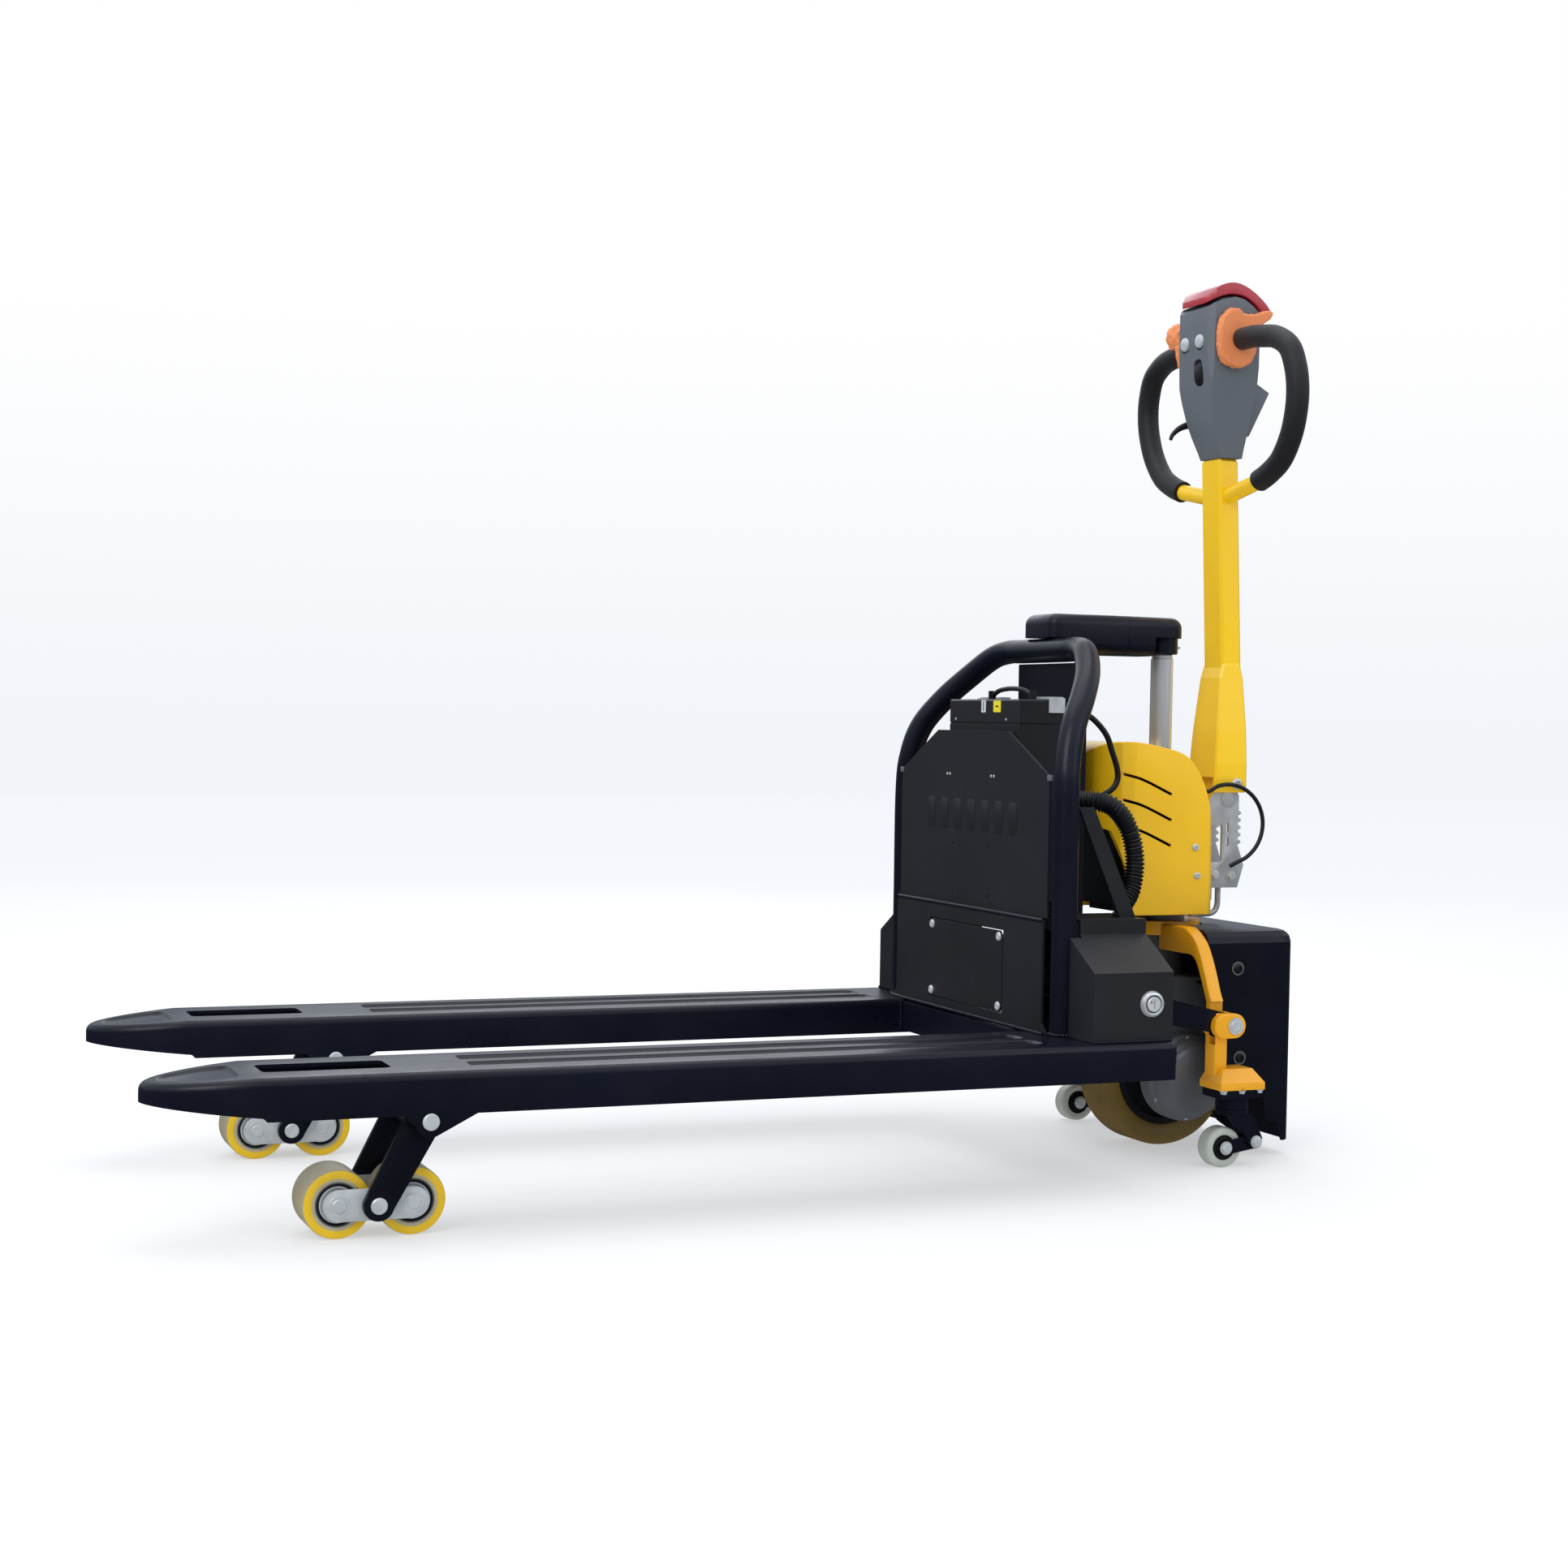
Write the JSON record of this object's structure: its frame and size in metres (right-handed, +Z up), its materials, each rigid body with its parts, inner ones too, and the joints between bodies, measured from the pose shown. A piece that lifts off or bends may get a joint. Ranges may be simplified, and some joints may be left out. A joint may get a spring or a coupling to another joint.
{
  "type": "electric pallet truck",
  "caption": "Walkie electric pallet truck with two lifting forks, bogie load wheels, steered drive unit, battery frame and tiller head",
  "frame": {"origin": "on the floor, under the middle of the bounding box", "axes": "+X from the fork tips to the tiller, +Y to the truck's left, +Z up"},
  "size_m": [1.633, 0.691, 1.2398],
  "materials": {
    "black_paint": "satin black powder coat",
    "yellow_paint": "gloss yellow paint",
    "yellow_plastic": "smooth yellow moulding",
    "grey_plastic": "fine textured grey moulding",
    "black_plastic": "matt black moulding",
    "black_foam": "soft foam grip",
    "orange_plastic": "faceted orange moulding",
    "red_plastic": "satin red moulding",
    "zinc_steel": "zinc plated",
    "chrome_steel": "hard chrome rod",
    "cast_alloy": "cast, tumbled",
    "motor_paint": "grey painted casting",
    "yellow_tread": "yellow polyurethane",
    "brown_tread": "brown yellow polyurethane",
    "white_nylon": "off-white nylon"
  },
  "bodies": {
    "root": {"chassis_casting": "yellow_paint", "rear_guard": "black_paint", "caster_mount_left": "black_paint", "caster_mount_right": "black_paint"},
    "steer_unit": {"drive_unit": "motor_paint", "lift_cylinder": "black_paint", "pump_unit": "black_paint", "pump_cover": "yellow_plastic", "tiller_base": "cast_alloy", "tiller_cable": "black_plastic"},
    "drive_wheel": {"drive_wheel_hub": "black_plastic", "drive_tyre": "brown_tread"},
    "piston": {"piston_rod": "chrome_steel"},
    "fork_frame": {"fork_left": "black_paint", "fork_right": "black_paint", "heel_frame": "black_paint", "lower_panel": "black_paint", "inspection_cover": "black_paint", "front_plate": "black_paint", "tube_guard": "black_paint", "lift_arm": "black_paint", "side_box_left": "black_paint", "side_box_right": "black_paint", "conduit": "black_plastic", "battery_lead": "black_plastic"},
    "battery": {"battery": "black_plastic"},
    "battery_handle": {"battery_handle": "black_plastic"},
    "battery_latch_left": {"battery_latch_left": "zinc_steel"},
    "battery_latch_right": {"battery_latch_right": "zinc_steel"},
    "ignition_key": {"ignition_key": "zinc_steel"},
    "rocker": {"rocker": "black_paint"},
    "tiller": {"tiller_tube": "yellow_paint", "control_head": "grey_plastic", "grip_left": "black_foam", "grip_right": "black_foam"},
    "belly_button": {"belly_button": "red_plastic"},
    "throttle_left": {"throttle_left": "orange_plastic"},
    "throttle_right": {"throttle_right": "orange_plastic"},
    "lift_lever": {"lift_lever": "black_plastic"},
    "lift_button": {"lift_button": "zinc_steel"},
    "lower_button": {"lower_button": "zinc_steel"},
    "speed_switch": {"speed_switch": "black_plastic"},
    "load_arm_left": {"load_arm_left": "black_paint"},
    "push_rod_left": {"push_rod_left": "black_paint"},
    "bogie_pin_left": {"bogie_pin_left": "zinc_steel"},
    "bogie_carrier_left": {"bogie_carrier_left": "zinc_steel"},
    "load_wheel_front_left": {"load_wheel_front_left": "yellow_tread"},
    "load_wheel_rear_left": {"load_wheel_rear_left": "yellow_tread"},
    "caster_bracket_left": {"caster_bracket_left": "black_paint"},
    "caster_swing_arm_left": {"caster_swing_arm_left": "black_paint"},
    "caster_wheel_left": {"caster_wheel_left": "white_nylon"},
    "load_arm_right": {"load_arm_right": "black_paint"},
    "push_rod_right": {"push_rod_right": "black_paint"},
    "bogie_pin_right": {"bogie_pin_right": "zinc_steel"},
    "bogie_carrier_right": {"bogie_carrier_right": "zinc_steel"},
    "load_wheel_front_right": {"load_wheel_front_right": "yellow_tread"},
    "load_wheel_rear_right": {"load_wheel_rear_right": "yellow_tread"},
    "caster_bracket_right": {"caster_bracket_right": "black_paint"},
    "caster_swing_arm_right": {"caster_swing_arm_right": "black_paint"},
    "caster_wheel_right": {"caster_wheel_right": "white_nylon"}
  },
  "joints": [
    {"name": "steering", "type": "hinge", "parent": "root", "child": "steer_unit", "pos_m": [0.6505, 0, 0.315], "axis": [0, 0, 1], "range_deg": [-90, 90]},
    {"name": "drive_roll", "type": "hinge", "parent": "steer_unit", "child": "drive_wheel", "pos_m": [0.6505, 0, 0.105], "axis": [0, 1, 0], "continuous": true},
    {"name": "lift", "type": "slide", "parent": "root", "child": "fork_frame", "axis": [0, 0, 1], "range_m": [-0.1065, 0]},
    {"name": "piston_slide", "type": "slide", "parent": "steer_unit", "child": "piston", "axis": [0, 0, 1], "range_m": [-0.107, 0.0002]},
    {"name": "rocker_swing", "type": "hinge", "parent": "root", "child": "rocker", "pos_m": [0.6505, 0, 0.194], "axis": [0, 1, 0], "range_deg": [-25.76, 0.1]},
    {"name": "load_arm_left_fold", "type": "hinge", "parent": "fork_frame", "child": "load_arm_left", "pos_m": [-0.5025, 0.2625, 0.138], "axis": [0, 1, 0], "range_deg": [-0.1, 66.12]},
    {"name": "bogie_pin_left_turn", "type": "hinge", "parent": "load_arm_left", "child": "bogie_pin_left", "pos_m": [-0.5555, 0.2625, 0.04], "axis": [0, 1, 0], "range_deg": [-66.12, 0.1]},
    {"name": "push_rod_left_slide", "type": "slide", "parent": "fork_frame", "child": "push_rod_left", "axis": [1, 0, 0], "range_m": [-0.0001, 0.04192]},
    {"name": "bogie_left_rock", "type": "hinge", "parent": "bogie_pin_left", "child": "bogie_carrier_left", "pos_m": [-0.5555, 0.2625, 0.04], "axis": [0, 1, 0], "range_deg": [-5, 5]},
    {"name": "load_wheel_front_left_roll", "type": "hinge", "parent": "bogie_carrier_left", "child": "load_wheel_front_left", "pos_m": [-0.5989, 0.2625, 0.04], "axis": [0, 1, 0], "continuous": true},
    {"name": "load_wheel_rear_left_roll", "type": "hinge", "parent": "bogie_carrier_left", "child": "load_wheel_rear_left", "pos_m": [-0.5121, 0.2625, 0.04], "axis": [0, 1, 0], "continuous": true},
    {"name": "caster_left_swivel", "type": "hinge", "parent": "root", "child": "caster_bracket_left", "pos_m": [0.6545, 0.203, 0.078], "axis": [0, 0, 1], "continuous": true},
    {"name": "caster_left_swing", "type": "hinge", "parent": "caster_bracket_left", "child": "caster_swing_arm_left", "pos_m": [0.6815, 0.203, 0.035], "axis": [0, 1, 0], "range_deg": [-2, 12], "stiffness_Nm_per_rad": 90},
    {"name": "caster_left_roll", "type": "hinge", "parent": "caster_swing_arm_left", "child": "caster_wheel_left", "pos_m": [0.6355, 0.203, 0.028], "axis": [0, 1, 0], "continuous": true},
    {"name": "throttle_left_turn", "type": "hinge", "parent": "tiller", "child": "throttle_left", "pos_m": [0.7325, 0.055, 1.158], "axis": [0, 1, 0], "range_deg": [-30, 30], "stiffness_Nm_per_rad": 0.6},
    {"name": "battery_latch_left_slide", "type": "slide", "parent": "battery", "child": "battery_latch_left", "axis": [0, 1, 0], "range_m": [0, 0.008]},
    {"name": "load_arm_right_fold", "type": "hinge", "parent": "fork_frame", "child": "load_arm_right", "pos_m": [-0.5025, -0.2625, 0.138], "axis": [0, 1, 0], "range_deg": [-0.1, 66.12]},
    {"name": "bogie_pin_right_turn", "type": "hinge", "parent": "load_arm_right", "child": "bogie_pin_right", "pos_m": [-0.5555, -0.2625, 0.04], "axis": [0, 1, 0], "range_deg": [-66.12, 0.1]},
    {"name": "push_rod_right_slide", "type": "slide", "parent": "fork_frame", "child": "push_rod_right", "axis": [1, 0, 0], "range_m": [-0.0001, 0.04192]},
    {"name": "bogie_right_rock", "type": "hinge", "parent": "bogie_pin_right", "child": "bogie_carrier_right", "pos_m": [-0.5555, -0.2625, 0.04], "axis": [0, 1, 0], "range_deg": [-5, 5]},
    {"name": "load_wheel_front_right_roll", "type": "hinge", "parent": "bogie_carrier_right", "child": "load_wheel_front_right", "pos_m": [-0.5989, -0.2625, 0.04], "axis": [0, 1, 0], "continuous": true},
    {"name": "load_wheel_rear_right_roll", "type": "hinge", "parent": "bogie_carrier_right", "child": "load_wheel_rear_right", "pos_m": [-0.5121, -0.2625, 0.04], "axis": [0, 1, 0], "continuous": true},
    {"name": "caster_right_swivel", "type": "hinge", "parent": "root", "child": "caster_bracket_right", "pos_m": [0.6545, -0.203, 0.078], "axis": [0, 0, 1], "continuous": true},
    {"name": "caster_right_swing", "type": "hinge", "parent": "caster_bracket_right", "child": "caster_swing_arm_right", "pos_m": [0.6815, -0.203, 0.035], "axis": [0, 1, 0], "range_deg": [-2, 12], "stiffness_Nm_per_rad": 90},
    {"name": "caster_right_roll", "type": "hinge", "parent": "caster_swing_arm_right", "child": "caster_wheel_right", "pos_m": [0.6355, -0.203, 0.028], "axis": [0, 1, 0], "continuous": true},
    {"name": "throttle_right_turn", "type": "hinge", "parent": "tiller", "child": "throttle_right", "pos_m": [0.7325, -0.055, 1.158], "axis": [0, 1, 0], "range_deg": [-30, 30]},
    {"name": "battery_latch_right_slide", "type": "slide", "parent": "battery", "child": "battery_latch_right", "axis": [0, -1, 0], "range_m": [0, 0.008]},
    {"name": "battery_lift", "type": "slide", "parent": "fork_frame", "child": "battery", "axis": [0, 0, 1], "range_m": [0, 0.25]},
    {"name": "battery_handle_turn", "type": "hinge", "parent": "battery", "child": "battery_handle", "pos_m": [0.3995, -0.0175, 0.6425], "axis": [0, 1, 0], "range_deg": [-60, 60]},
    {"name": "key_turn", "type": "hinge", "parent": "fork_frame", "child": "ignition_key", "pos_m": [0.4475, -0.331, 0.244], "axis": [0, -1, 0], "range_deg": [0, 60]},
    {"name": "tiller_tilt", "type": "hinge", "parent": "steer_unit", "child": "tiller", "pos_m": [0.7475, 0, 0.499], "axis": [0, 1, 0], "range_deg": [0, 80]},
    {"name": "belly_button_press", "type": "slide", "parent": "tiller", "child": "belly_button", "axis": [0.042, 0, -0.9991], "range_m": [0, 0.0035], "stiffness_N_per_m": 2500},
    {"name": "lift_lever_pull", "type": "hinge", "parent": "tiller", "child": "lift_lever", "pos_m": [0.7275, 0.046, 1.043], "axis": [0, 1, 0], "range_deg": [0, 15], "stiffness_Nm_per_rad": 0.4},
    {"name": "lift_button_press", "type": "slide", "parent": "tiller", "child": "lift_button", "axis": [1, 0, 0], "range_m": [0, 0.0022], "stiffness_N_per_m": 800},
    {"name": "lower_button_press", "type": "slide", "parent": "tiller", "child": "lower_button", "axis": [1, 0, 0], "range_m": [0, 0.0022], "stiffness_N_per_m": 800},
    {"name": "speed_switch_rock", "type": "hinge", "parent": "tiller", "child": "speed_switch", "pos_m": [0.7025, -0.012, 1.112], "axis": [0, 1, 0], "range_deg": [-6, 6]}
  ],
  "couplings": [
    {"joint": "piston_slide", "follows": "lift", "ratio": 1},
    {"joint": "rocker_swing", "follows": "lift", "rad_per_m": 4.1974},
    {"joint": "load_arm_left_fold", "follows": "lift", "rad_per_m": -10.811},
    {"joint": "bogie_pin_left_turn", "follows": "lift", "rad_per_m": 10.811},
    {"joint": "push_rod_left_slide", "follows": "lift", "ratio": -0.3918},
    {"joint": "load_arm_right_fold", "follows": "lift", "rad_per_m": -10.811},
    {"joint": "bogie_pin_right_turn", "follows": "lift", "rad_per_m": 10.811},
    {"joint": "push_rod_right_slide", "follows": "lift", "ratio": -0.3918},
    {"joint": "throttle_right_turn", "follows": "throttle_left_turn", "ratio": 1}
  ]
}
